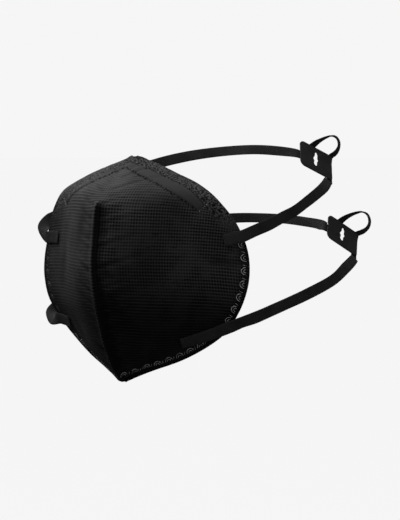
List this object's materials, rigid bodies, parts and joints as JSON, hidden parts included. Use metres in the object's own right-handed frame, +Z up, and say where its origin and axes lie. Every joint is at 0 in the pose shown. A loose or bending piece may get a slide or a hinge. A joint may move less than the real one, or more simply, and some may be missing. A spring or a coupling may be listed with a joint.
{
  "type": "respirator mask",
  "caption": "Fold-flat cloth respirator mask opened to its worn shape, with a raised nose band and elastic head straps threaded through adjusters.",
  "frame": {"origin": "middle of the face opening, level with the top of the nose", "axes": "+Z up, -Y out through the nose of the mask, +X towards the wearer's left cheek"},
  "size_m": [0.1914, 0.383, 0.1621],
  "materials": {
    "cloth": "matt black non-woven cloth, embossed with a fine grid of dots",
    "elastic": "matt black flat knitted elastic",
    "adjuster_plastic": "satin dark grey moulded plastic"
  },
  "bodies": {
    "root": {"mask_shell": "cloth", "upper_head_strap": "elastic", "upper_adjuster": "adjuster_plastic", "lower_head_strap": "elastic", "lower_adjuster": "adjuster_plastic"}
  },
  "joints": []
}
